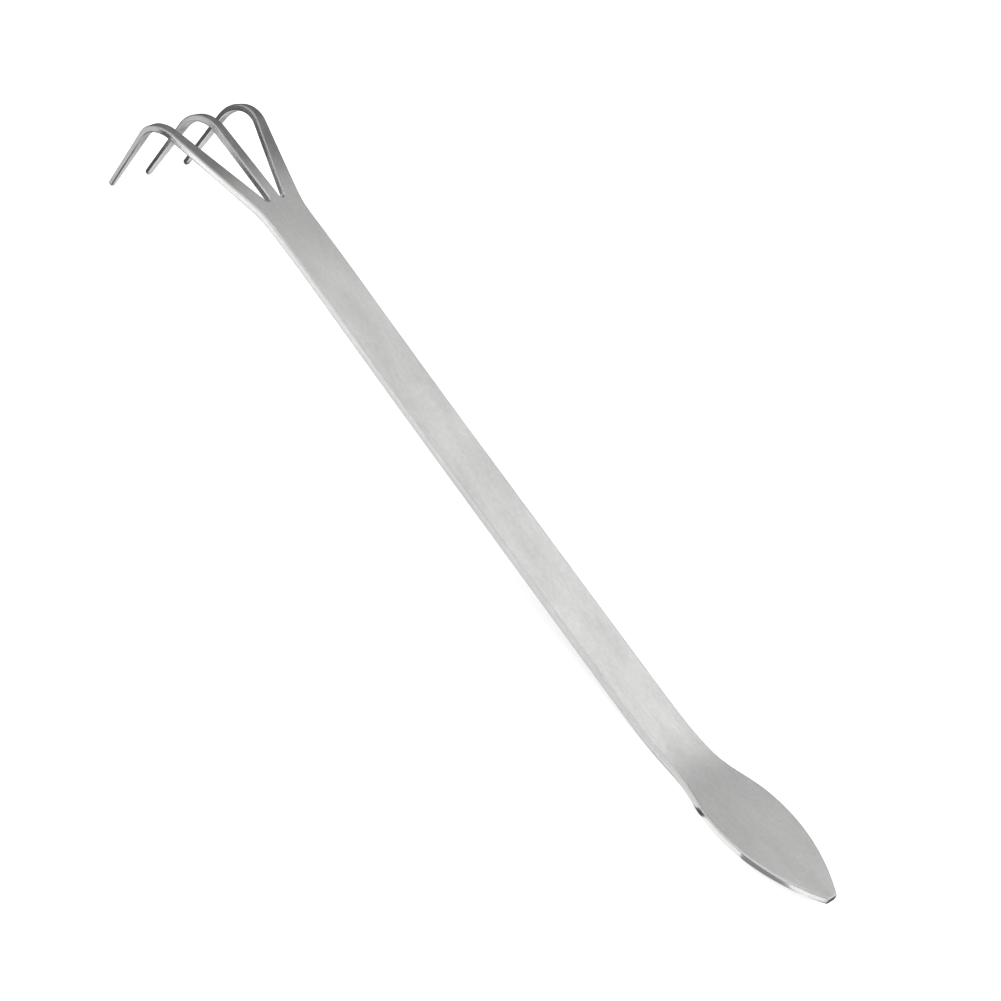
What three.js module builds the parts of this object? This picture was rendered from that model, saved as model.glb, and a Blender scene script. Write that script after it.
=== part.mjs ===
// Root rake with a spatula end: a hand tool cut from one strip of stainless sheet and bent to shape.
// A flat bar is the handle. One end is a leaf-shaped blade, the other is slit into three splayed
// tines whose ends are bent down into hooks. Lengths are in millimetres and angles in radians.
//
// The tool is drawn along its own centre line, measured from the blade's tip, with +X towards the
// rake, +Y to the left and +Z up. It is then tipped to lie on its hooks and on the back of its bar.
import * as THREE from "three";

const DEGREE = Math.PI / 180;

// Sheet
const SHEET_HALF = 0.8;              // half of the sheet's thickness
const EDGE_RADIUS = 0.42;            // tumbled edge all the way round
const EDGE_SHARE = 0.9;              // most of a half width or half thickness that an edge may take
const EDGE_STEPS = 3;                // facets on each rounded edge

// Blade outline: distances from the tip, and half widths
const TIP_HALF = 1.35;
const TIP_CORNER = 0.35;             // rounding of the blunt tip's two corners
const TIP_SWELL_AT = 5.5;            // curve handle that sets how fast the tip swells
const TIP_SWELL_HALF = 6.2;
const FRONT_FULL_AT = 13;            // curve handle ahead of the widest place
const WIDEST_AT = 22;
const WIDEST_HALF = 10.6;
const BACK_FULL_AT = 31;             // curve handle behind the widest place
const NECK_EASE_AT = 32.5;           // curve handle that eases the outline into the neck
const NECK_AT = 41;
const NECK_HALF = 6.6;
const FRONT_STEPS = 20;
const BACK_STEPS = 18;

// Handle: where its regions meet, then its widths
const BLADE_END = 44;
const SHOULDER_AT = 155;
const GRIP_AT = 90;                  // middle of the handle, where the bar is straight
const GRIP_HALF_LENGTH = 25;
const FORK_AT = 181.8;               // bottoms of the two slots between the tines
const FORK_HALF = 6.37;              // half width of the bar before it flares into the tines
const FLARE_AT = -2.6;               // start of the flare, from the slots' bottoms
const FLARE_SLOPE = 0.345;           // outer edge of a side tine
const FLARE_BLEND = 2;               // size of the soft corner where the flare starts
const NECK_STEPS = 10;
const STRAIGHT_STEPS = 8;            // on the bar between the grip and the shoulder
const SHOULDER_STEPS = 20;

// Side view of the centre line
const BLADE_PITCH = 10.6 * DEGREE;   // blade lifted from the bar
const PITCH_FROM = 32.5;
const PITCH_TO = 54;
const BOW = 0.0004;                  // curvature of the bar on each side of the grip, per millimetre
const FORK_DIP = 3 * DEGREE;         // the bar's last stretch turns down again
const DIP_FROM = SHOULDER_AT;
const LENGTH_STEP = 0.5;             // step in which the centre line is followed

// Rake
const SLOT_HALF = 0.75;              // half width of a slot at its round bottom
const SLOT_CENTRE = 2.35;            // from the centre line
const SPLAY = 17.3 * DEGREE;         // of the side tines where their bends start
const BEND_WIDTH = 2.44;             // tine width where its bend starts
const END_WIDTH = 1.38;              // and near its end
const END_HALF_THICKNESS = 0.56;
const END_ROUND = 0.7;               // length of the rounded end
const END_TURN = 75 * DEGREE;        // how far the end's rounding goes before its small flat
const HOOK_ANGLE = 93.6 * DEGREE;
const ROOT_SHARE = 0.04;             // part of a tine beside the slot's round bottom
const ROOT_STEPS = 6;
const TINE_STEPS = 8;
const BEND_STEPS = 14;
const PATH_STEPS = 60;               // in which a bend's middle line is followed
const SHANK_STEPS = 5;
const END_STEPS = 4;

// Each hook is bent by hand: its own radius, depth, final heading in the rake's plane, and sideways
// lean per millimetre of depth. Headings and leans are positive to the left.
const TINES = [
  {
    name: "left", side: 1, reach: 26.3,
    bendRadius: 4.95, drop: 20.9, heading: -4.9 * DEGREE, lean: -0.058,
  },
  {
    name: "middle", side: 0, reach: 25.5,
    bendRadius: 6.5, drop: 21.6, heading: -10.9 * DEGREE, lean: 0.035,
  },
  {
    name: "right", side: -1, reach: 26.05,
    bendRadius: 7.6, drop: 22.5, heading: -9.1 * DEGREE, lean: 0.064,
  },
];

const TILT_ROUNDS = 6;               // the tilt settles in two or three

const STEEL = { color: 0xc9c9c6, roughness: 0.36, metalness: 1 };

function smoothStep(from, to, value) {
  const t = Math.min(Math.max((value - from) / (to - from), 0), 1);
  return t * t * (3 - 2 * t);
}

// Slope of the centre line in side view: positive climbs towards the rake.
function slopeAt(along) {
  const beyondGrip = Math.max(Math.abs(along - GRIP_AT) - GRIP_HALF_LENGTH, 0);
  const bow = BOW * beyondGrip * Math.sign(along - GRIP_AT);
  const pitch = BLADE_PITCH * (1 - smoothStep(PITCH_FROM, PITCH_TO, along));
  const dip = FORK_DIP * smoothStep(DIP_FROM, FORK_AT, along);
  return bow - pitch - dip;
}

// Centre line point at a distance from the tip. The middle of the grip is at X = Z = 0.
function centreAt(along) {
  const steps = Math.max(Math.ceil(Math.abs(along - GRIP_AT) / LENGTH_STEP), 1);
  const step = (along - GRIP_AT) / steps;
  const point = new THREE.Vector3();
  for (let i = 0; i < steps; i += 1) {
    const slope = slopeAt(GRIP_AT + (i + 0.5) * step);
    point.x += Math.cos(slope) * step;
    point.z += Math.sin(slope) * step;
  }
  return point;
}

// One cross-section: a rectangle with rounded corners, across and up being its own axes.
function ring(station) {
  const { centre, across, up, halfWidth, halfThickness } = station;
  const radius = Math.min(EDGE_RADIUS, halfWidth * EDGE_SHARE, halfThickness * EDGE_SHARE);
  const points = [];
  for (let corner = 0; corner < 4; corner += 1) {
    const acrossSign = corner === 0 || corner === 3 ? 1 : -1;
    const upSign = corner < 2 ? 1 : -1;
    for (let i = 0; i <= EDGE_STEPS; i += 1) {
      const turn = (corner + i / EDGE_STEPS) * Math.PI / 2;
      const a = acrossSign * (halfWidth - radius) + radius * Math.cos(turn);
      const b = upSign * (halfThickness - radius) + radius * Math.sin(turn);
      points.push(centre.clone().addScaledVector(across, a).addScaledVector(up, b));
    }
  }
  return points;
}

// A closed solid through a row of cross-sections, with flat ends.
function loft(stations) {
  const rings = stations.map(ring);
  const count = rings[0].length;
  const positions = rings.flat().flatMap((point) => point.toArray());
  const index = [];
  for (let r = 0; r + 1 < rings.length; r += 1) {
    for (let i = 0; i < count; i += 1) {
      const a = r * count + i;
      const b = r * count + (i + 1) % count;
      index.push(a, b, b + count, a, b + count, a + count);
    }
  }
  const last = (rings.length - 1) * count;
  for (let i = 1; i + 1 < count; i += 1) {
    index.push(0, i + 1, i);
    index.push(last, last + i, last + i + 1);
  }
  const geometry = new THREE.BufferGeometry();
  geometry.setAttribute("position", new THREE.Float32BufferAttribute(positions, 3));
  geometry.setIndex(index);
  geometry.computeVertexNormals();
  return geometry;
}

// Cross-section of the blade or the bar at a distance from the tip.
function barStation(along, halfWidth) {
  const slope = slopeAt(along);
  return {
    centre: centreAt(along),
    across: new THREE.Vector3(0, 1, 0),
    up: new THREE.Vector3(-Math.sin(slope), 0, Math.cos(slope)),
    halfWidth,
    halfThickness: SHEET_HALF,
  };
}

// Half width of the bar, flaring at the fork into the outer edges of the side tines.
function barHalfWidth(along) {
  const taper = (along - NECK_AT) / (FORK_AT - NECK_AT);
  const straight = THREE.MathUtils.lerp(NECK_HALF, FORK_HALF, Math.min(taper, 1));
  const past = along - FORK_AT - FLARE_AT;
  return straight + FLARE_SLOPE * (Math.hypot(past, FLARE_BLEND) + past) / 2;
}

// Leaf outline: x is the distance from the tip and y the half width.
function bladeOutline() {
  const point = (x, y) => new THREE.Vector2(x, y);
  const tip = point(0, TIP_HALF);
  const swell = point(TIP_SWELL_AT, TIP_SWELL_HALF);
  const widest = point(WIDEST_AT, WIDEST_HALF);
  const ease = point(NECK_EASE_AT, NECK_HALF);
  const neck = point(NECK_AT, NECK_HALF);
  const front = new THREE.CubicBezierCurve(tip, swell, point(FRONT_FULL_AT, WIDEST_HALF), widest);
  const back = new THREE.CubicBezierCurve(widest, point(BACK_FULL_AT, WIDEST_HALF), ease, neck);
  return [...front.getPoints(FRONT_STEPS), ...back.getPoints(BACK_STEPS).slice(1)];
}

function spatulaBlade() {
  const stations = [barStation(0, TIP_HALF - TIP_CORNER)];
  for (const { x, y } of bladeOutline()) {
    stations.push(barStation(Math.max(x, TIP_CORNER / 2), y));
  }
  stations.push(barStation(BLADE_END, barHalfWidth(BLADE_END)));
  return loft(stations);
}

// Evenly spaced cross-sections of the bar, both ends included.
function barStations(from, to, steps) {
  return Array.from({ length: steps + 1 }, (_, i) => {
    const along = THREE.MathUtils.lerp(from, to, i / steps);
    return barStation(along, barHalfWidth(along));
  });
}

function bladeNeck() {
  return loft(barStations(BLADE_END, GRIP_AT - GRIP_HALF_LENGTH, NECK_STEPS));
}

function handleBar() {
  const gripStart = GRIP_AT - GRIP_HALF_LENGTH;
  const gripEnd = GRIP_AT + GRIP_HALF_LENGTH;
  const straight = barStations(gripEnd, SHOULDER_AT, STRAIGHT_STEPS);
  return loft([barStation(gripStart, barHalfWidth(gripStart)), ...straight]);
}

function rakeShoulder() {
  return loft(barStations(SHOULDER_AT, FORK_AT, SHOULDER_STEPS));
}

// The rake's flat plane: forward and left are measured from the slots' bottoms.
const forkCentre = centreAt(FORK_AT);
const forkForward = new THREE.Vector3(Math.cos(slopeAt(FORK_AT)), 0, Math.sin(slopeAt(FORK_AT)));
const forkUp = new THREE.Vector3(-forkForward.z, 0, forkForward.x);
const forkLeft = new THREE.Vector3(0, 1, 0);

function forkDirection(forward, left) {
  return new THREE.Vector3().addScaledVector(forkForward, forward).addScaledVector(forkLeft, left);
}

// Slot edge: a quarter round from the slot's bottom, then straight to the tine's bend.
function slotEdge(forward, tineSide, bendPoint) {
  if (forward < SLOT_HALF) {
    const opening = Math.sqrt(SLOT_HALF ** 2 - (SLOT_HALF - forward) ** 2);
    return SLOT_CENTRE + tineSide * opening;
  }
  const share = (forward - SLOT_HALF) / (bendPoint.x - SLOT_HALF);
  return THREE.MathUtils.lerp(SLOT_CENTRE + tineSide * SLOT_HALF, bendPoint.y, share);
}

// Where a tine's bend starts: its two edges in the rake's plane, drawn for the left-hand side.
function bendEdges(tine) {
  if (tine.side === 0) {
    const forward = tine.reach - tine.bendRadius;
    return {
      outer: new THREE.Vector2(forward, BEND_WIDTH / 2),
      inner: new THREE.Vector2(forward, -BEND_WIDTH / 2),
    };
  }
  const forward = (tine.reach - tine.bendRadius) * Math.cos(SPLAY);
  const outer = new THREE.Vector2(forward, barHalfWidth(FORK_AT + forward));
  const inward = new THREE.Vector2(Math.sin(SPLAY), -Math.cos(SPLAY));
  const inner = outer.clone().addScaledVector(inward, BEND_WIDTH);
  return { outer, inner };
}

// Shares of the way along a tine: close together round the slot's bottom, then even.
function tineShares() {
  const shares = [];
  for (let i = 0; i <= ROOT_STEPS; i += 1) {
    shares.push(ROOT_SHARE * (1 - Math.cos(i / ROOT_STEPS * Math.PI / 2)));
  }
  for (let i = 1; i <= TINE_STEPS; i += 1) {
    shares.push(THREE.MathUtils.lerp(ROOT_SHARE, 1, i / TINE_STEPS));
  }
  return shares;
}

function tineStations(tine) {
  const { outer, inner } = bendEdges(tine);
  return tineShares().map((share) => {
    const outerForward = share * outer.x;
    const innerForward = share * inner.x;
    let outerLeft;
    let innerLeft;
    if (tine.side === 0) {
      outerLeft = slotEdge(outerForward, -1, outer);
      innerLeft = -outerLeft;
    } else {
      outerLeft = tine.side * barHalfWidth(FORK_AT + outerForward);
      innerLeft = tine.side * slotEdge(innerForward, 1, inner);
    }
    const a = forkDirection(outerForward, outerLeft);
    const b = forkDirection(innerForward, innerLeft);
    const across = a.clone().sub(b).multiplyScalar(tine.side === -1 ? -1 : 1);
    const halfWidth = across.length() / 2;
    return {
      centre: a.add(b).multiplyScalar(0.5).add(forkCentre),
      across: across.normalize(),
      up: forkUp,
      halfWidth,
      halfThickness: SHEET_HALF,
    };
  });
}

// A hook's own directions at a distance along it. It twists as it bends, from the tine's line to its
// final heading.
function hookAxes(tine, travelled) {
  const twisted = smoothStep(0, tine.bendRadius * HOOK_ANGLE, travelled);
  const heading = THREE.MathUtils.lerp(tine.side * SPLAY, tine.heading, twisted);
  const turn = Math.min(travelled / tine.bendRadius, HOOK_ANGLE);
  const level = forkDirection(Math.cos(heading), Math.sin(heading));
  return {
    ahead: level.clone().multiplyScalar(Math.cos(turn)).addScaledVector(forkUp, -Math.sin(turn)),
    across: forkDirection(-Math.sin(heading), Math.cos(heading)),
    up: forkUp.clone().multiplyScalar(Math.cos(turn)).addScaledVector(level, Math.sin(turn)),
  };
}

// How far a hook's middle line has come from the tine's end, its lean left out.
function hookOffset(tine, travelled) {
  const bent = Math.min(travelled, tine.bendRadius * HOOK_ANGLE);
  const step = bent / PATH_STEPS;
  const offset = hookAxes(tine, travelled).ahead.multiplyScalar(travelled - bent);
  for (let i = 0; i < PATH_STEPS; i += 1) {
    offset.addScaledVector(hookAxes(tine, (i + 0.5) * step).ahead, step);
  }
  return offset;
}

function hookStations(tine) {
  const start = tineStations(tine).at(-1);
  const bendDepth = tine.bendRadius * (1 - Math.cos(HOOK_ANGLE));
  const shank = (tine.drop - bendDepth) / Math.sin(HOOK_ANGLE);
  const bendLength = tine.bendRadius * HOOK_ANGLE;
  const total = bendLength + shank;
  const stationAt = (travelled, shrink) => {
    const { across, up } = hookAxes(tine, travelled);
    const offset = hookOffset(tine, travelled);
    const lean = -offset.dot(forkUp) * tine.lean;
    const worn = travelled / total;
    return {
      centre: start.centre.clone().add(offset).addScaledVector(across, lean),
      across,
      up,
      halfWidth: shrink * THREE.MathUtils.lerp(start.halfWidth, END_WIDTH / 2, worn),
      halfThickness: shrink * THREE.MathUtils.lerp(SHEET_HALF, END_HALF_THICKNESS, worn),
    };
  };
  const stations = [];
  for (let i = 0; i < BEND_STEPS; i += 1) {
    stations.push(stationAt(bendLength * i / BEND_STEPS, 1));
  }
  for (let i = 0; i < SHANK_STEPS; i += 1) {
    stations.push(stationAt(bendLength + (shank - END_ROUND) * i / SHANK_STEPS, 1));
  }
  for (let i = 0; i <= END_STEPS; i += 1) {
    const turn = END_TURN * i / END_STEPS;
    stations.push(stationAt(total - END_ROUND * (1 - Math.sin(turn)), Math.cos(turn)));
  }
  return stations;
}

// Angle that brings the hooks and the back of the bar down onto one level.
function restingTilt(points) {
  let tilt = 0;
  for (let round = 0; round < TILT_ROUNDS; round += 1) {
    const height = (point) => point.x * Math.sin(tilt) + point.z * Math.cos(tilt);
    const lower = (best, point) => (height(point) < height(best) ? point : best);
    const hook = points.filter((point) => point.x > forkCentre.x).reduce(lower);
    const back = points.filter((point) => point.x < forkCentre.x).reduce(lower);
    tilt += (height(back) - height(hook)) / hook.distanceTo(back);
  }
  return tilt;
}

const tool = new THREE.Group();

function addNode(name, geometry) {
  const mesh = new THREE.Mesh(geometry, new THREE.MeshStandardMaterial(STEEL));
  mesh.name = name;
  tool.add(mesh);
}

addNode("spatula_blade", spatulaBlade());
addNode("blade_neck", bladeNeck());
addNode("handle_bar", handleBar());
addNode("rake_shoulder", rakeShoulder());
for (const tine of TINES) {
  addNode(`tine_${tine.name}`, loft(tineStations(tine)));
  addNode(`hook_${tine.name}`, loft(hookStations(tine)));
}

// Lay the tool down, with the origin under the middle of its bounding box.
const corners = tool.children.flatMap(({ geometry }) => {
  const position = geometry.getAttribute("position");
  const corner = (_, i) => new THREE.Vector3().fromBufferAttribute(position, i);
  return Array.from({ length: position.count }, corner);
});
tool.rotation.y = -restingTilt(corners);
tool.updateMatrixWorld(true);
const box = new THREE.Box3().setFromObject(tool, true);
tool.position.set(-(box.min.x + box.max.x) / 2, -(box.min.y + box.max.y) / 2, -box.min.z);

export default tool;
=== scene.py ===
"""A one-piece steel root rake with a spatula end, rebuilt as one seamless bent sheet.

The sheet's flat pattern is drawn first, as it is before bending: s runs along the tool from the
blade's tip and y to the left, in millimetres. Its edges are rounded over, and then every point is
bent to shape. The finished vertices and the stage are in metres.
"""

import math

import bmesh
import bpy
import numpy as np
from mathutils import Matrix, Vector
from mathutils.geometry import delaunay_2d_cdt


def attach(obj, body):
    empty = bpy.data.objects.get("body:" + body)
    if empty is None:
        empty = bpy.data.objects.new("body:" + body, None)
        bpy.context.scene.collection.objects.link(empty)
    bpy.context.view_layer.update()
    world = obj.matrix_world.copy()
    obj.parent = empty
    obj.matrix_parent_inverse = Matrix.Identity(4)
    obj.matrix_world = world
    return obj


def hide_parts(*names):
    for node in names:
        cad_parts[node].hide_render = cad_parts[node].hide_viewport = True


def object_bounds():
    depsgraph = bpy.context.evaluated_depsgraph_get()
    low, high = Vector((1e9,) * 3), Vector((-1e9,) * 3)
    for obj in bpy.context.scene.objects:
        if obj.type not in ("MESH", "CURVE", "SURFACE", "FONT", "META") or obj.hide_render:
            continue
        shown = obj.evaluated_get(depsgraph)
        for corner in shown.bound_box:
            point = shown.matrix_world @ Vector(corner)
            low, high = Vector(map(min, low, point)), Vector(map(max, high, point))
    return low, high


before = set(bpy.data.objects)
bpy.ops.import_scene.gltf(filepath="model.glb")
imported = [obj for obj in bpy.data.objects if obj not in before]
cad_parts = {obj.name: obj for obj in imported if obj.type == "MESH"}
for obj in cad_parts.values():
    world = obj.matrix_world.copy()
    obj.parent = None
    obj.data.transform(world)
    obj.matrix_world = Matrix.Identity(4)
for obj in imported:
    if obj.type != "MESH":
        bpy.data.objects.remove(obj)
cad_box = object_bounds()
MM = 0.001

# ---------------------------------------- the CAD part's driving dimensions
# lengths in millimetres, angles in radians
SHEET_HALF = 0.8
EDGE_RADIUS = 0.42
TIP_HALF, TIP_CORNER = 1.35, 0.6
TIP_SWELL = (5.5, 6.2)
FRONT_FULL_AT, WIDEST_AT, WIDEST_HALF, BACK_FULL_AT = 13.0, 22.0, 10.6, 31.0
NECK_EASE_AT, NECK_AT, NECK_HALF = 32.5, 41.0, 6.6
GRIP_AT, GRIP_HALF_LENGTH = 90.0, 25.0
FORK_AT, FORK_HALF = 181.8, 6.37
FLARE_AT, FLARE_SLOPE, FLARE_BLEND = -2.6, 0.345, 2.0
BLADE_PITCH, PITCH_FROM, PITCH_TO = math.radians(10.6), 32.5, 54.0
BOW, FORK_DIP, DIP_FROM = 0.0004, math.radians(3.0), 155.0
SLOT_HALF, SLOT_CENTRE, SPLAY = 0.75, 2.35, math.radians(17.3)
BEND_WIDTH, END_WIDTH, END_HALF_THICKNESS, END_ROUND = 2.44, 1.38, 0.56, 0.7
HOOK_ANGLE = math.radians(93.6)
# side is 1 for left, 0 for middle and -1 for right; lean is the sideways drift for each mm of drop
TINES = [
    dict(side=1, reach=26.3, radius=4.95, drop=20.9, heading=math.radians(-4.9), lean=-0.058),
    dict(side=0, reach=25.5, radius=6.5, drop=21.6, heading=math.radians(-10.9), lean=0.035),
    dict(side=-1, reach=26.05, radius=7.6, drop=22.5, heading=math.radians(-9.1), lean=0.064),
]

# ---------------------------------------- how finely the sheet is drawn
LINE_POINTS, BEND_POINTS = 7201, 401
FRONT_POINTS, BACK_POINTS, BAR_POINTS, FLARE_POINTS, HOOK_POINTS = 400, 300, 132, 60, 90
CORNER_POINTS, END_POINTS, SLOT_POINTS = 12, 15, 17
BLADE_SPACING, TIP_SPACING, ROOT_SPACING, HOOK_SPACING = 0.5, 0.12, 0.45, 0.3
SHORTEST_EDGE, CORNER_CLEARANCE, LONGEST_MITRE = 0.02, 0.15, 2.0
BAR_STARTS_PAST_NECK, BAR_ENDS_BEFORE_FORK, TINES_BEGIN_AT = 1.0, 8.0, -7.0
RINGS = 6
# rows of points inside the outline: where they start, how far short they stop, and their spacing
BAR_ROWS, TINE_ROWS, HOOK_ROWS = (1.2, 1.0, 1.0), (1.6, 0.3, 0.5), (0.15, END_ROUND, 0.3)
BAR_COLUMN_WIDTH, TINE_COLUMNS, HOOK_COLUMNS = 1.5, (0.25, 0.5, 0.75), (-0.45, 0.0, 0.45)
JOIN_FACE_ANGLE, JOIN_SHAPE_ANGLE = math.radians(25), math.radians(35)
TILT_STEPS = 6

# ---------------------------------------- where the grain turns and where the tines' painted shade and rougher finish change, in mm
GRAIN_TURNS_OVER, RAKE_SHADE_AND_ROUGHNESS_OVER = 9.0, 13.0
HOOK_SHADE_AND_ROUGHNESS_FADES, HOOK_FADE_BETWEEN = 0.6, (0.55, 1.15)  # the latter in shares of the bend


def smooth_step(lo, hi, value):
    t = np.clip((np.asarray(value, float) - lo) / (hi - lo), 0.0, 1.0)
    return t * t * (3 - 2 * t)


# ---------------------------------------- the bar's centre line in side view
def slope_at(s):
    """Slope of the bar's centre line: level at the grip, bowed beyond it, pitched at the blade."""
    s = np.asarray(s, float)
    beyond = np.maximum(np.abs(s - GRIP_AT) - GRIP_HALF_LENGTH, 0.0)
    bow = BOW * beyond * np.sign(s - GRIP_AT)
    pitch = BLADE_PITCH * (1 - smooth_step(PITCH_FROM, PITCH_TO, s))
    return bow - pitch - FORK_DIP * smooth_step(DIP_FROM, FORK_AT, s)


LINE_S = np.linspace(0.0, FORK_AT, LINE_POINTS)
_mid = slope_at((LINE_S[1:] + LINE_S[:-1]) / 2)
_step = LINE_S[1] - LINE_S[0]
LINE_X = np.concatenate([[0.0], np.cumsum(np.cos(_mid) * _step)])
LINE_Z = np.concatenate([[0.0], np.cumsum(np.sin(_mid) * _step)])
LINE_X -= np.interp(GRIP_AT, LINE_S, LINE_X)
LINE_Z -= np.interp(GRIP_AT, LINE_S, LINE_Z)

FORK_SLOPE = float(slope_at(FORK_AT))
FORK_POINT = np.array([LINE_X[-1], 0.0, LINE_Z[-1]])
FORWARD = np.array([math.cos(FORK_SLOPE), 0.0, math.sin(FORK_SLOPE)])
LEFT = np.array([0.0, 1.0, 0.0])
UP = np.array([-math.sin(FORK_SLOPE), 0.0, math.cos(FORK_SLOPE)])


def bar_half(s):
    """Half width of the bar, which flares into the outer tines past the fork."""
    s = np.asarray(s, float)
    share = np.minimum((s - NECK_AT) / (FORK_AT - NECK_AT), 1.0)
    straight = NECK_HALF + (FORK_HALF - NECK_HALF) * share
    past = s - FORK_AT - FLARE_AT
    return straight + FLARE_SLOPE * (np.hypot(past, FLARE_BLEND) + past) / 2


# ---------------------------------------- tines: where each bend starts, and how
for tine in TINES:
    side, radius = tine["side"], tine["radius"]
    angle = side * SPLAY
    tine["dir"] = np.array([math.cos(angle), math.sin(angle)])
    tine["cross"] = np.array([-math.sin(angle), math.cos(angle)])
    if side == 0:
        forward = tine["reach"] - radius
        tine["upper"] = np.array([forward, BEND_WIDTH / 2])
        tine["lower"] = np.array([forward, -BEND_WIDTH / 2])
    else:
        forward = (tine["reach"] - radius) * math.cos(SPLAY)
        outer = np.array([forward, float(bar_half(FORK_AT + forward))])
        inner = outer + BEND_WIDTH * np.array([math.sin(SPLAY), -math.cos(SPLAY)])
        outer[1], inner[1] = side * outer[1], side * inner[1]
        tine["upper"], tine["lower"] = (outer, inner) if side == 1 else (inner, outer)
    tine["start"] = (tine["upper"] + tine["lower"]) / 2
    tine["shank"] = (tine["drop"] - radius * (1 - math.cos(HOOK_ANGLE))) / math.sin(HOOK_ANGLE)
    tine["bend"] = radius * HOOK_ANGLE
    tine["total"] = tine["bend"] + tine["shank"]


def heading_at(tine, u):
    """A hook's heading in the rake's plane, which twists away from the tine's own in the bend."""
    start = tine["side"] * SPLAY
    return start + (tine["heading"] - start) * smooth_step(0.0, tine["bend"], u)


def hook_axes(tine, u):
    """A hook's level axes, ahead and across, at distances past the start of its bend."""
    heading = heading_at(tine, u)[:, None]
    ahead = np.cos(heading) * FORWARD + np.sin(heading) * LEFT
    across = np.cos(heading) * LEFT - np.sin(heading) * FORWARD
    return ahead, across


for tine in TINES:
    u = np.linspace(0.0, tine["bend"], BEND_POINTS)
    middle, step = (u[1:] + u[:-1]) / 2, u[1]
    turn = (middle / tine["radius"])[:, None]
    ahead, _ = hook_axes(tine, middle)
    path = np.cumsum((np.cos(turn) * ahead - np.sin(turn) * UP) * step, axis=0)
    tine["path_u"], tine["path"] = u, np.concatenate([np.zeros((1, 3)), path])


def hook_half(tine, u):
    """Half width of a hook at a distance past the start of its bend."""
    return (BEND_WIDTH + (END_WIDTH - BEND_WIDTH) * u / tine["total"]) / 2


# ---------------------------------------- the flat pattern's outline
def bezier(p0, p1, p2, p3, count):
    t = np.linspace(0, 1, count)[:, None]
    a, b, c, d = (np.array(p, float) for p in (p0, p1, p2, p3))
    return (1 - t) ** 3 * a + 3 * t * (1 - t) ** 2 * b + 3 * t * t * (1 - t) * c + t ** 3 * d


def even(points, spacing):
    """The same polyline with its points evenly spaced."""
    points = np.asarray(points, float)
    length = np.concatenate([[0.0], np.cumsum(np.hypot(*np.diff(points, axis=0).T))])
    count = max(int(round(length[-1] / spacing)), 1)
    at = np.linspace(0, length[-1], count + 1)
    return np.stack([np.interp(at, length, points[:, k]) for k in range(2)], axis=1)


def arc(centre, radius, start, end, count):
    a = np.linspace(start, end, count)
    return np.stack([centre[0] + radius * np.cos(a), centre[1] + radius * np.sin(a)], axis=1)


def blade_edge():
    """Left edge of the blade and the bar, from the middle of the blunt tip to near the fork."""
    front = bezier((0, TIP_HALF), TIP_SWELL,
                   (FRONT_FULL_AT, WIDEST_HALF), (WIDEST_AT, WIDEST_HALF), FRONT_POINTS)
    back = bezier((WIDEST_AT, WIDEST_HALF), (BACK_FULL_AT, WIDEST_HALF),
                  (NECK_EASE_AT, NECK_HALF), (NECK_AT, NECK_HALF), BACK_POINTS)
    side = np.concatenate([front, back[1:]])
    # the blunt tip's corner: a small arc tangent to the front line and to the outline
    heading = math.atan2(TIP_SWELL[1] - TIP_HALF, TIP_SWELL[0])
    centre = (TIP_CORNER, TIP_HALF - TIP_CORNER * (1 - math.sin(heading)) / math.cos(heading))
    corner = arc(centre, TIP_CORNER, math.pi, math.pi / 2 + heading, CORNER_POINTS)
    side = side[side[:, 0] > corner[-1, 0] + CORNER_CLEARANCE]
    tip = np.concatenate([[[0.0, 0.0]], corner])
    edge = np.concatenate([even(tip, TIP_SPACING), even(side, BLADE_SPACING)])
    s = np.linspace(NECK_AT + BAR_STARTS_PAST_NECK, FORK_AT - BAR_ENDS_BEFORE_FORK, BAR_POINTS)
    bar = np.stack([s, bar_half(s)], axis=1)
    return np.concatenate([edge, bar])


def tine_side(tine, upper):
    """One edge of a flat tine, from near its root to the start of its rounded end."""
    corner = tine["upper"] if upper else tine["lower"]
    sign = 1 if upper else -1
    if sign == tine["side"]:
        # the tine's outer edge carries on from the bar's flared edge
        f = np.linspace(TINES_BEGIN_AT, corner[0], FLARE_POINTS)
        y = tine["side"] * bar_half(FORK_AT + f)
        root = np.stack([f, y], axis=1)
    else:
        slot_side = tine["side"] or sign
        away = 1 if tine["side"] != 0 else -1
        begin = np.array([SLOT_HALF, slot_side * (SLOT_CENTRE + away * SLOT_HALF)])
        root = np.stack([begin, corner])
    u = np.linspace(0, tine["total"] - END_ROUND, HOOK_POINTS)[1:]
    half = (sign * hook_half(tine, u))[:, None]
    edge = tine["start"] + u[:, None] * tine["dir"] + half * tine["cross"]
    past_root = even(np.concatenate([root[-1:], edge]), HOOK_SPACING)
    return np.concatenate([even(root, ROOT_SPACING)[:-1], past_root])


def tine_end(tine):
    """The rounded end, from the upper edge round to the lower one."""
    u = tine["total"] - END_ROUND
    half = hook_half(tine, u)
    a = np.linspace(math.pi / 2, -math.pi / 2, END_POINTS)[1:-1]
    base = tine["start"] + u * tine["dir"]
    ahead, across = (END_ROUND * np.cos(a))[:, None], (half * np.sin(a))[:, None]
    return base + ahead * tine["dir"] + across * tine["cross"]


def slot_bottom(side):
    """Half round at a slot's bottom, from the edge above it to the one below."""
    a = np.linspace(math.pi / 2, 3 * math.pi / 2, SLOT_POINTS)[1:-1]
    x, y = SLOT_HALF + SLOT_HALF * np.cos(a), side * SLOT_CENTRE + SLOT_HALF * np.sin(a)
    return np.stack([x, y], axis=1)


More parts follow.
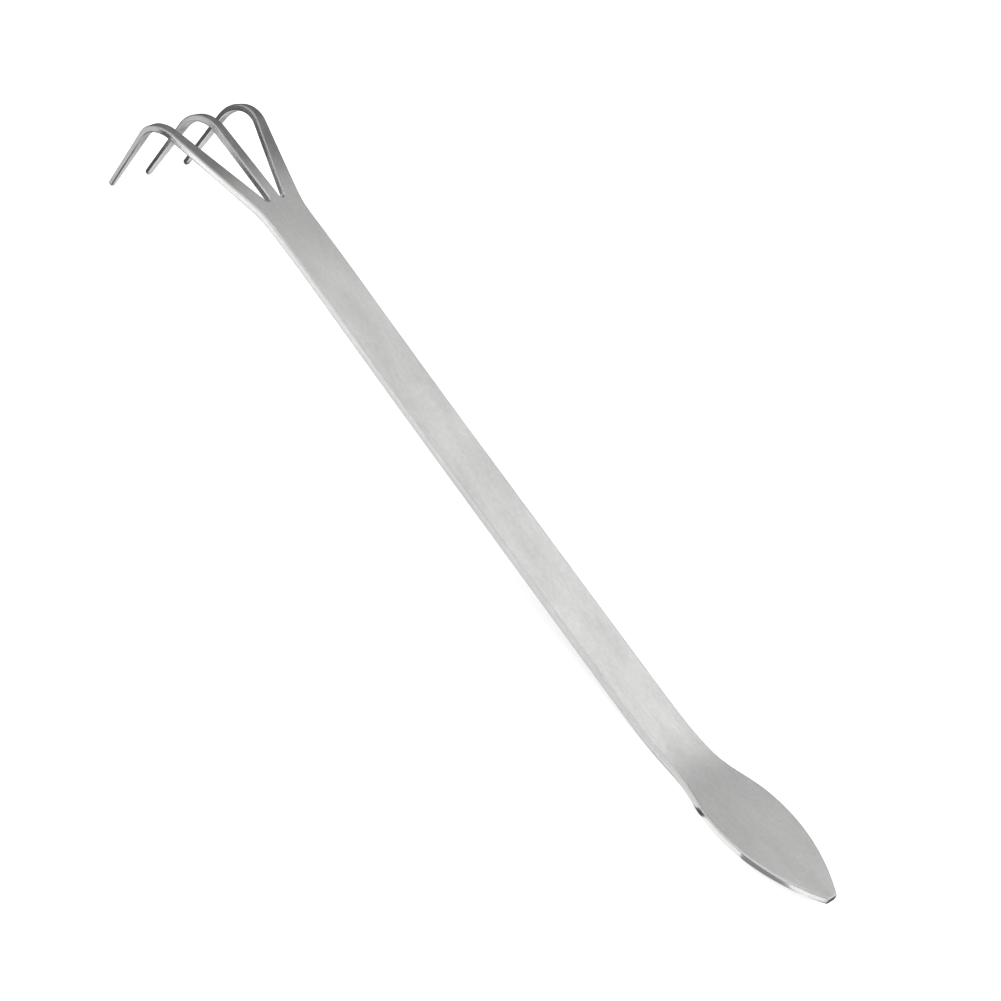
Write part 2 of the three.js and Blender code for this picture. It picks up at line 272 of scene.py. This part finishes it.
def outline():
    """Closed outline, clockwise from above: up the left edge, round the tines, down the right."""
    left = blade_edge()
    shift = np.array([FORK_AT, 0.0])
    chunks = [left]
    for tine in TINES:
        if tine["side"] != 1:
            # the slot between this tine and the one to its left
            chunks.append(slot_bottom(1 if tine["side"] == 0 else -1) + shift)
        chunks.append(tine_side(tine, True) + shift)
        chunks.append(tine_end(tine) + shift)
        chunks.append(tine_side(tine, False)[::-1] + shift)
    chunks.append((left * [1, -1])[1:][::-1])
    return np.concatenate(chunks)


# ---------------------------------------- bending
def on_tine(tine, forward, y):
    """Which flat points are past the fork, on one tine's side of the slots' centre lines."""
    mine = np.abs(y) < SLOT_CENTRE if tine["side"] == 0 else tine["side"] * y >= SLOT_CENTRE
    return mine & (forward > 0)


def locate(flat):
    """The hook each flat point is on (0 is none), how far along it, and the half thickness."""
    forward, y = flat[:, 0] - FORK_AT, flat[:, 1]
    past = np.full(len(flat), -1.0)
    which = np.zeros(len(flat), int)
    half = np.full(len(flat), SHEET_HALF)
    for number, tine in enumerate(TINES, 1):
        mine = on_tine(tine, forward, y)
        u = (forward - tine["start"][0]) * tine["dir"][0] + (y - tine["start"][1]) * tine["dir"][1]
        mine &= u > 0
        past[mine], which[mine] = u[mine], number
        worn = np.clip(u[mine] / tine["total"], 0, 1)
        half[mine] = SHEET_HALF + (END_HALF_THICKNESS - SHEET_HALF) * worn
    return which, past, half


def bend(flat, height):
    """Where flat points go at a height from the mid plane, and the flat x, y and up axes there."""
    which, past, _ = locate(flat)
    s, y = flat[:, 0], flat[:, 1]
    n = len(flat)
    along = np.minimum(s, FORK_AT)
    slope = slope_at(along)
    ahead = np.stack([np.cos(slope), np.zeros(n), np.sin(slope)], axis=1)
    up = np.stack([-np.sin(slope), np.zeros(n), np.cos(slope)], axis=1)
    centre_x, centre_z = np.interp(along, LINE_S, LINE_X), np.interp(along, LINE_S, LINE_Z)
    centre = np.stack([centre_x, np.zeros(n), centre_z], axis=1)
    beyond = np.maximum(s - FORK_AT, 0.0)
    place = centre + beyond[:, None] * FORWARD + y[:, None] * LEFT + height[:, None] * up
    left = np.repeat(LEFT[None], n, axis=0)
    for number, tine in enumerate(TINES, 1):
        mine = which == number
        if not mine.any():
            continue
        start = FORK_POINT + tine["start"][0] * FORWARD + tine["start"][1] * LEFT
        u = past[mine]
        off = np.stack([s[mine] - FORK_AT, y[mine]], axis=1) - tine["start"]
        across = off @ tine["cross"]
        turn = np.minimum(u / tine["radius"], HOOK_ANGLE)
        rest = np.maximum(u - tine["bend"], 0.0)
        d3, c3 = hook_axes(tine, u)
        bent = [np.interp(u, tine["path_u"], tine["path"][:, k]) for k in range(3)]
        bent = np.stack(bent, axis=1)
        down = tine["radius"] * (1 - np.cos(turn)) + rest * np.sin(turn)
        ahead_here = np.cos(turn)[:, None] * d3 - np.sin(turn)[:, None] * UP
        up_here = np.cos(turn)[:, None] * UP + np.sin(turn)[:, None] * d3
        sideways = (across + tine["lean"] * down)[:, None] * c3
        place[mine] = (start + bent + rest[:, None] * ahead_here + sideways
                       + height[mine][:, None] * up_here)
        up[mine] = up_here
        ahead[mine] = ahead_here
        left[mine] = c3
    # directions in the flat pattern's own x and y, carried into space
    east, north = ahead.copy(), left.copy()
    for number, tine in enumerate(TINES, 1):
        mine = which == number
        east[mine] = tine["dir"][0] * ahead[mine] - tine["dir"][1] * left[mine]
        north[mine] = tine["dir"][1] * ahead[mine] + tine["dir"][0] * left[mine]
    return place, east, north, up


def grain_coordinates(flat):
    """Seamless coordinates that follow the metal: along the tool or the tine, and across it."""
    forward, y = flat[:, 0] - FORK_AT, flat[:, 1]
    along, across = flat[:, 0].copy(), y.copy()
    for tine in TINES:
        mine = on_tine(tine, forward, y)
        if tine["side"] == 0 or not mine.any():
            continue
        slot_y = tine["side"] * SLOT_CENTRE
        u = forward[mine] * tine["dir"][0] + (y[mine] - slot_y) * tine["dir"][1]
        v = -forward[mine] * tine["dir"][1] + (y[mine] - slot_y) * tine["dir"][0]
        ease = smooth_step(0.0, GRAIN_TURNS_OVER, forward[mine])
        along[mine] = FORK_AT + (1 - ease) * forward[mine] + ease * u
        across[mine] = (1 - ease) * y[mine] + ease * (slot_y + v)
    return along, across


# ---------------------------------------- the mesh
def build_sheet():
    """The rounded edge in rings of points, from the bottom face's border round to the top face's.

    Returns the number of points in a ring, the top face's border in the flat pattern, the index
    each ring starts at, and the rings' vertices, normals and (flat, height, rim) values.
    """
    edge = outline()
    gap = np.hypot(*(np.roll(edge, -1, axis=0) - edge).T)
    edge = edge[gap > SHORTEST_EDGE]
    ahead = np.roll(edge, -1, axis=0) - edge
    ahead /= np.hypot(*ahead.T)[:, None]
    behind = np.roll(ahead, 1, axis=0)
    tangent = ahead + behind
    tangent /= np.hypot(*tangent.T)[:, None]
    outward = np.stack([-tangent[:, 1], tangent[:, 0]], axis=1)
    segment_outward = np.stack([-ahead[:, 1], ahead[:, 0]], axis=1)
    mitre = 1.0 / np.clip((outward * segment_outward).sum(axis=1), 1 / LONGEST_MITRE, 1.0)

    count = len(edge)
    verts, normals, attrs, start_of = [], [], [], []
    turns = np.linspace(0, math.pi / 2, RINGS)
    _, _, edge_half = locate(edge)
    for sign, t in [(-1, t) for t in turns] + [(1, t) for t in turns[::-1]]:
        flat = edge - outward * (mitre * EDGE_RADIUS * (1 - math.sin(t)))[:, None]
        height = sign * (edge_half - EDGE_RADIUS * (1 - math.cos(t)))
        place, east, north, up = bend(flat, height)
        side = outward[:, :1] * east + outward[:, 1:] * north
        start_of.append(count * len(verts))
        verts.append(place)
        normals.append(math.sin(t) * side + sign * math.cos(t) * up)
        attrs.append((flat, height, np.full(count, math.sin(t))))
    return count, flat, start_of, verts, normals, attrs


def inner_points():
    """Flat points inside the border: rows across the bar and across each tine."""
    points = []
    left = blade_edge()
    first, short, spacing = BAR_ROWS
    for s in np.arange(first, FORK_AT - short, spacing):
        half = float(np.interp(s, left[:, 0], left[:, 1])) - EDGE_RADIUS
        columns = max(int(round(2 * half / BAR_COLUMN_WIDTH)), 2)
        inside = np.linspace(-half, half, columns + 1)[1:-1]
        points += [(s, y) for y in inside]
    for tine in TINES:
        first, short, spacing = TINE_ROWS
        for f in np.arange(first, tine["start"][0] - short, spacing):
            share = f / tine["start"][0]
            if tine["side"] == 0:
                top = SLOT_CENTRE - SLOT_HALF + (BEND_WIDTH / 2 - SLOT_CENTRE + SLOT_HALF) * share
                low = -top
            else:
                inner = tine["lower"] if tine["side"] == 1 else tine["upper"]
                low = SLOT_CENTRE + SLOT_HALF
                low += (abs(inner[1]) - low) * (f - SLOT_HALF) / (inner[0] - SLOT_HALF)
                top = float(bar_half(FORK_AT + f))
            low, top = low + EDGE_RADIUS, top - EDGE_RADIUS
            for w in TINE_COLUMNS:
                y = low + (top - low) * w
                points.append((FORK_AT + f, y if tine["side"] >= 0 else -y))
        first, short, spacing = HOOK_ROWS
        for u in np.arange(first, tine["total"] - short, spacing):
            half = hook_half(tine, u) - EDGE_RADIUS
            for w in HOOK_COLUMNS:
                p = tine["start"] + u * tine["dir"] + w * half * tine["cross"]
                points.append((FORK_AT + p[0], p[1]))
    return np.array(points)


def fill_faces(count, border):
    """Triangulate the top face: flat points, triangles of them, and the inner points used."""
    flat2d = np.concatenate([border, inner_points()])
    loop = [(i, (i + 1) % count) for i in range(count)]
    _, _, faces, ids, _, _ = delaunay_2d_cdt([Vector(p) for p in flat2d], loop, [], 1, 1e-6)
    assert all(ids), "the triangulation added a point"
    source = [min(group) for group in ids]
    faces = [[source[v] for v in face] for face in faces]
    return flat2d, faces, sorted({v for face in faces for v in face if v >= count})


def lay_down(verts, normals):
    """Tilt the tool onto its lowest hook and its bar, and centre it in the CAD part's box."""
    tilt = 0.0
    for _ in range(TILT_STEPS):
        h = verts[:, 0] * math.sin(tilt) + verts[:, 2] * math.cos(tilt)
        ahead = verts[:, 0] > FORK_POINT[0]
        hook = np.flatnonzero(ahead)[np.argmin(h[ahead])]
        back = np.flatnonzero(~ahead)[np.argmin(h[~ahead])]
        tilt += (h[back] - h[hook]) / np.linalg.norm(verts[hook] - verts[back])
    turn = np.array([[math.cos(tilt), 0, -math.sin(tilt)], [0, 1, 0],
                     [math.sin(tilt), 0, math.cos(tilt)]])
    verts, normals = verts @ turn.T * MM, normals @ turn.T
    low, high = (np.array(c) for c in cad_box)
    middle = (low + high) / 2
    mine = (verts.min(axis=0) + verts.max(axis=0)) / 2
    verts += [middle[0] - mine[0], middle[1] - mine[1], low[2] - verts[:, 2].min()]
    return verts, normals


def make_tool():
    """The whole tool as one mesh: the rounded edge, and a top and a bottom face that fill it."""
    count, border, start_of, verts, normals, attrs = build_sheet()
    flat2d, flat_faces, used = fill_faces(count, border)
    inner_index = {old: n for n, old in enumerate(used)}
    inside = flat2d[used]
    _, _, half = locate(inside)
    top_start = sum(len(v) for v in verts)
    for sign in (1, -1):
        place, _, _, up = bend(inside, sign * half)
        verts.append(place)
        normals.append(sign * up)
        attrs.append((inside, sign * half, np.zeros(len(inside))))
    bottom_start = top_start + len(inside)
    faces = []
    for old in flat_faces:
        top = [start_of[-1] + v if v < count else top_start + inner_index[v] for v in old]
        low = [start_of[0] + v if v < count else bottom_start + inner_index[v] for v in old]
        a, b, c = (flat2d[v] for v in old[:3])
        if (b[0] - a[0]) * (c[1] - a[1]) - (b[1] - a[1]) * (c[0] - a[0]) < 0:
            top, low = top[::-1], low[::-1]
        faces.append(top)
        faces.append(low[::-1])
    for a, b in zip(start_of, start_of[1:]):
        for i in range(count):
            j = (i + 1) % count
            faces.append([a + i, b + i, b + j, a + j])

    verts, normals = np.concatenate(verts), np.concatenate(normals)
    flat = np.concatenate([a[0] for a in attrs])
    height = np.concatenate([a[1] for a in attrs])
    rim = np.concatenate([a[2] for a in attrs])
    along, across = grain_coordinates(flat)
    which, past, _ = locate(flat)
    turned = np.zeros(len(flat))
    for number, tine in enumerate(TINES, 1):
        mine = which == number
        turned[mine] = past[mine] / tine["bend"]
    # the rake's painted shade (a darker base colour standing in for the darker surroundings its
    # flats reflect) and its rougher finish come in past the fork and mostly fade again down the
    # hooks
    rake = smooth_step(0.0, RAKE_SHADE_AND_ROUGHNESS_OVER, flat[:, 0] - FORK_AT)
    rake *= 1 - HOOK_SHADE_AND_ROUGHNESS_FADES * smooth_step(*HOOK_FADE_BETWEEN, turned)

    verts, normals = lay_down(verts, normals)

    mesh = bpy.data.meshes.new("rake_sheet")
    mesh.from_pydata([tuple(v) for v in verts], [], faces)
    bm = bmesh.new()
    bm.from_mesh(mesh)
    bm.faces.ensure_lookup_table()
    bmesh.ops.join_triangles(bm, faces=[f for f in bm.faces if len(f.verts) == 3],
                             angle_face_threshold=JOIN_FACE_ANGLE,
                             angle_shape_threshold=JOIN_SHAPE_ANGLE)
    bm.to_mesh(mesh)
    bm.free()
    mesh.update()
    mesh.shade_smooth()
    mesh.normals_split_custom_set_from_vertices([tuple(n) for n in normals])
    grain = mesh.attributes.new("grain", "FLOAT_VECTOR", "POINT")
    coordinates = np.stack([along, across, height], axis=1).astype(np.float32)
    grain.data.foreach_set("vector", coordinates.ravel())
    for name, values in (("rim", rim), ("rake", rake)):
        layer = mesh.attributes.new(name, "FLOAT", "POINT")
        layer.data.foreach_set("value", values.astype(np.float32))
    tool = bpy.data.objects.new("rake_sheet", mesh)
    bpy.context.collection.objects.link(tool)
    return tool


# ---------------------------------------- materials
NOISE_LOW, NOISE_HIGH = 0.3, 0.7
STEEL_VALUE, STEEL_ROUGHNESS = 0.65, 0.33
# how far each noise moves the tone and the roughness either way, and its part in the bumps
MOTTLE_TONE, CLOUD_TONE, STREAK_TONE = 0.03, 0.03, 0.015
SPECK_TONE, SPECK_FROM, SPECK_TO = -0.08, 0.6, 0.8
FINE_ROUGH, MOTTLE_ROUGH, CLOUD_ROUGH = 0.05, 0.025, 0.02
FINE_BUMP, MOTTLE_BUMP, SPECK_BUMP = 0.6, 0.65, 0.25
# painted shade on the tines' flats as a darker base colour, and their real extra roughness
RAKE_PAINTED_SHADE, RAKE_ROUGHER = 0.36, 0.14
# a painted highlight on the rounded edges in base colour, then the edges' lower roughness and the
# least roughness
RIM_PAINTED_HIGHLIGHT, RIM_SMOOTHER, SMOOTHEST = 0.03, 0.13, 0.12
WARMTH = (0.997, 0.99)
BUMP_STRENGTH, BUMP_HEIGHT = 0.5, 0.00006
FLOOR_GRAIN, FLOOR_UNEVEN, FLOOR_ROUGHNESS, FLOOR_SPECULAR = 900.0, 0.01, 0.85, 0.1
# detail, roughness and scale for each mm along, across and through the metal
STEEL_NOISES = dict(
    fine=(5.0, 0.6, (0.5, 9.0, 9.0)),
    streak=(3.0, 0.5, (0.06, 2.2, 2.2)),
    mottle=(4.0, 0.65, (0.85, 1.05, 1.05)),
    cloud=(2.0, 0.5, (0.07, 0.16, 0.16)),
    speck=(2.0, 0.5, (2.6, 3.4, 3.4)),
)


class Nodes:
    """Small helper to lay out a material's node tree."""

    def __init__(self, name):
        self.material = bpy.data.materials.new(name)
        self.material.use_nodes = True
        self.tree = self.material.node_tree
        self.shader = self.tree.nodes["Principled BSDF"]

    def add(self, kind, inputs=None, **settings):
        node = self.tree.nodes.new(kind)
        for key, value in settings.items():
            setattr(node, key, value)
        for key, value in (inputs or {}).items():
            self.put(node.inputs[key], value)
        return node

    def put(self, socket, value):
        if isinstance(value, bpy.types.NodeSocket):
            self.tree.links.new(value, socket)
        else:
            socket.default_value = value

    def noise(self, coords, scale, detail, rough, stretch=(1, 1, 1)):
        mapped = self.add("ShaderNodeMapping", {"Vector": coords, "Scale": stretch}).outputs[0]
        inputs = {"Vector": mapped, "Scale": scale, "Detail": detail, "Roughness": rough}
        return self.add("ShaderNodeTexNoise", inputs).outputs["Fac"]

    def remap(self, value, to_lo, to_hi, lo=NOISE_LOW, hi=NOISE_HIGH):
        """Stretch a value, by default a noise's usual range, to a new range."""
        inputs = {"Value": value, "From Min": lo, "From Max": hi, "To Min": to_lo, "To Max": to_hi}
        return self.add("ShaderNodeMapRange", inputs).outputs[0]

    def math(self, operation, a, b):
        return self.add("ShaderNodeMath", {0: a, 1: b}, operation=operation).outputs[0]


def steel_material():
    """Satin steel with a lengthwise grain, faint handling marks, painted shade and a rougher
    finish on the tines, and a painted highlight on the rounded edges.
    """
    m = Nodes("satin_stainless_steel")
    grain = m.add("ShaderNodeAttribute", attribute_name="grain").outputs["Vector"]
    rim = m.add("ShaderNodeAttribute", attribute_name="rim").outputs["Fac"]
    rake = m.add("ShaderNodeAttribute", attribute_name="rake").outputs["Fac"]
    noises = [m.noise(grain, 1.0, *how) for how in STEEL_NOISES.values()]
    fine, streak, mottle, cloud, speck = noises

    # painted shade and real roughness: the flats of the tines get a darker base colour and a
    # rougher finish than their edges
    rake_painted_shade_and_roughness = m.math("MULTIPLY", rake, m.math("SUBTRACT", 1.0, m.math("POWER", rim, 2.0)))

    # colour: steel, mottled by handling, with painted shade on the tines' flats and a painted
    # highlight on the rounded edges
    shade = m.math("ADD", m.remap(mottle, -MOTTLE_TONE, MOTTLE_TONE),
                   m.remap(cloud, -CLOUD_TONE, CLOUD_TONE))
    shade = m.math("ADD", shade, m.remap(streak, -STREAK_TONE, STREAK_TONE))
    shade = m.math("ADD", shade, m.remap(speck, 0.0, SPECK_TONE, SPECK_FROM, SPECK_TO))
    # painted shade: the tines' flats are darkened in base colour
    shade = m.math("SUBTRACT", shade, m.math("MULTIPLY", rake_painted_shade_and_roughness, RAKE_PAINTED_SHADE))
    value = m.math("ADD", shade, STEEL_VALUE)
    # painted highlight: the rounded edges and side walls get a slightly lighter base colour
    value = m.math("ADD", value, m.math("MULTIPLY", m.math("POWER", rim, 2.0), RIM_PAINTED_HIGHLIGHT))
    green, blue = (m.math("MULTIPLY", value, share) for share in WARMTH)
    colour = m.add("ShaderNodeCombineColor", {"Red": value, "Green": green, "Blue": blue})
    m.put(m.shader.inputs["Base Color"], colour.outputs[0])
    m.shader.inputs["Metallic"].default_value = 1.0

    # roughness: fine lengthwise grinding, a little smoother along the rounded edges
    rough = m.math("ADD", m.remap(fine, -FINE_ROUGH, FINE_ROUGH),
                   m.remap(mottle, MOTTLE_ROUGH, -MOTTLE_ROUGH))
    rough = m.math("ADD", rough, m.remap(cloud, CLOUD_ROUGH, -CLOUD_ROUGH))
    rough = m.math("ADD", rough, m.math("MULTIPLY", rake_painted_shade_and_roughness, RAKE_ROUGHER))
    rough = m.math("ADD", rough, STEEL_ROUGHNESS)
    rough = m.math("SUBTRACT", rough, m.math("MULTIPLY", m.math("POWER", rim, 1.5), RIM_SMOOTHER))
    m.put(m.shader.inputs["Roughness"], m.math("MAXIMUM", rough, SMOOTHEST))

    bumps = m.math("ADD", m.math("MULTIPLY", fine, FINE_BUMP),
                   m.math("MULTIPLY", mottle, MOTTLE_BUMP))
    bumps = m.math("ADD", bumps, m.math("MULTIPLY", speck, SPECK_BUMP))
    bump = m.add("ShaderNodeBump", {"Height": bumps, "Strength": BUMP_STRENGTH,
                                    "Distance": BUMP_HEIGHT})
    m.put(m.shader.inputs["Normal"], bump.outputs[0])
    return m.material


def floor_material(name, paleness, glow):
    """A matt, faintly grainy grey that glows white."""
    m = Nodes(name)
    coords = m.add("ShaderNodeTexCoord").outputs["Object"]
    grainy = m.noise(coords, FLOOR_GRAIN, 3.0, 0.6)
    value = m.remap(grainy, paleness - FLOOR_UNEVEN, paleness + FLOOR_UNEVEN)
    grey = m.add("ShaderNodeCombineColor", {"Red": value, "Green": value, "Blue": value})
    m.put(m.shader.inputs["Base Color"], grey.outputs[0])
    m.shader.inputs["Roughness"].default_value = FLOOR_ROUGHNESS
    m.shader.inputs["Specular IOR Level"].default_value = FLOOR_SPECULAR
    m.shader.inputs["Emission Color"].default_value = (1, 1, 1, 1)
    m.shader.inputs["Emission Strength"].default_value = glow
    return m.material


# ---------------------------------------- stage
SHEET_GAP = 0.0001
FLOOR_SIZE, FLOOR_GLOW, FLOOR_PALENESS, MIRRORED_PALENESS = 3.0, 0.72, 0.85, 0.3
WORLD_GLOW = 0.12
# painted reflections: sheets seen only in the steel; the brighter ones paint a lit floor for it to
# mirror, the dim ones and the gaps between paint the floor's shadow round the tool
# name, x from and to, y from and to, in metres, and glow
MIRRORED_SHEETS = [
    ("mirrored_by_tip", -3.0, -0.1, 0.003, 3.0, 1.0),
    ("mirrored_by_blade_front", -0.1, -0.087, 0.003, 3.0, 0.1),
    ("mirrored_by_blade_back", -0.087, -0.0745, 0.0066, 3.0, 1.0),
    ("mirrored_by_bar", -0.0722, 0.087, 0.0066, 0.031, 0.68),
    ("mirrored_by_tines", -0.0722, 0.089, 0.031, 3.0, 1.2),
    ("mirrored_by_hook", 0.102, 3.0, 0.0145, 3.0, 0.48),
    ("mirrored_under_rake", 0.0875, 0.1017, -0.035, 0.0125, 1.0),
]
# name, azimuth, elevation, width and height in degrees as seen from the tool, and radiance
PANELS = [
    ("back", -103.3, 40.0, 43.4, 36.0, 1.15),
    ("above_back", -95.0, 69.0, 60.0, 22.0, 0.6),
    ("back_edge", -73.0, 36.0, 14.0, 34.0, 0.03),
    ("side_fill", -34.0, 28.0, 44.0, 50.0, 0.5),
    ("far_left_fill", -150.0, 28.0, 42.0, 50.0, 0.5),
    ("front", 95.0, 32.0, 84.0, 58.0, 0.75),
    ("right_fill", 25.0, 30.0, 46.0, 50.0, 0.7),
    ("left_fill", 172.0, 30.0, 46.0, 50.0, 0.7),
]
PANEL_DISTANCE = 1.5
OVERHEAD_AT, OVERHEAD_SIZE, OVERHEAD_RADIANCE = (0.0, 0.35, 1.7), 1.4, 0.85
CAMERA_AT = (-0.24727, 0.74552, 0.56973)
CAMERA_RIGHT = (-0.656445, -0.579679, 0.482755)
CAMERA_AHEAD = (0.255983, -0.77314, -0.580282)
CAMERA_LENS, CAMERA_SENSOR, CAMERA_CLIP = 173.56, 36.0, (0.05, 20.0)


def sheet(name, left, right, near, far, material, **rays):
    """A level sheet just under the tool, from x = left to right and from y = near to far."""
    bm = bmesh.new()
    bmesh.ops.create_grid(bm, x_segments=8, y_segments=8, size=0.5)
    mesh = bpy.data.meshes.new(name)
    bm.to_mesh(mesh)
    bm.free()
    mesh.materials.append(material)
    ground = bpy.data.objects.new(name, mesh)
    ground.location = ((left + right) / 2, (near + far) / 2, cad_box[0][2] - SHEET_GAP)
    ground.scale = (right - left, far - near, 1.0)
    bpy.context.collection.objects.link(ground)
    for key, value in rays.items():
        setattr(ground, key, value)


def floor():
    """A pale floor. Instead of it the steel mirrors glowing sheets, with dark gaps between:
    painted reflections of a lit floor and of the floor's shadow round the tool.
    """
    sheet("floor", -FLOOR_SIZE, FLOOR_SIZE, -FLOOR_SIZE, FLOOR_SIZE,
          floor_material("pale_floor", FLOOR_PALENESS, FLOOR_GLOW), visible_glossy=False)
    for name, left, right, near, far, glow in MIRRORED_SHEETS:
        sheet(name, left, right, near, far, floor_material(name, MIRRORED_PALENESS, glow),
              visible_camera=False, visible_diffuse=False, visible_shadow=False)


def softbox(name, at, width, height, radiance):
    """A rectangular light that faces the tool."""
    light = bpy.data.lights.new(name, "AREA")
    light.shape = "RECTANGLE"
    light.size, light.size_y = width, height
    light.energy = radiance * math.pi * width * height
    lamp = bpy.data.objects.new(name, light)
    lamp.location = at
    lamp.rotation_euler = (Vector((0, 0, 0)) - Vector(at)).to_track_quat("-Z", "Y").to_euler()
    bpy.context.collection.objects.link(lamp)


def panel(name, azimuth, elevation, wide, tall, radiance):
    """A softbox placed by the direction it stands in and the angles it spans."""
    az, el, far = math.radians(azimuth), math.radians(elevation), PANEL_DISTANCE
    at = (far * math.cos(el) * math.cos(az), far * math.cos(el) * math.sin(az),
          far * math.sin(el))
    width = 2 * far * math.tan(math.radians(wide / 2))
    height = 2 * far * math.tan(math.radians(tall / 2))
    softbox(name, at, width, height, radiance)


def lighting():
    """The overhead light, the panels round the tool and a dim even world."""
    softbox("overhead", OVERHEAD_AT, OVERHEAD_SIZE, OVERHEAD_SIZE, OVERHEAD_RADIANCE)
    for row in PANELS:
        panel(*row)
    world = bpy.data.worlds.new("studio")
    bpy.context.scene.world = world
    world.use_nodes = True
    back = world.node_tree.nodes["Background"]
    back.inputs["Color"].default_value = (1, 1, 1, 1)
    back.inputs["Strength"].default_value = WORLD_GLOW


def camera():
    """The photograph's viewpoint, about a metre away with a long lens, rolled as the photo is."""
    right = Vector(CAMERA_RIGHT)
    ahead = Vector(CAMERA_AHEAD)
    up = right.cross(ahead)
    data = bpy.data.cameras.new("camera")
    data.sensor_width = CAMERA_SENSOR
    data.lens = CAMERA_LENS
    data.clip_start, data.clip_end = CAMERA_CLIP
    cam = bpy.data.objects.new("camera", data)
    turn = Matrix((right, up, -ahead)).transposed()
    cam.matrix_world = Matrix.Translation(Vector(CAMERA_AT)) @ turn.to_4x4()
    bpy.context.collection.objects.link(cam)
    bpy.context.scene.camera = cam


tool = make_tool()
tool.data.materials.append(steel_material())
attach(tool, "root")
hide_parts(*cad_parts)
floor()
lighting()
camera()
bpy.context.scene.view_settings.view_transform = "Standard"
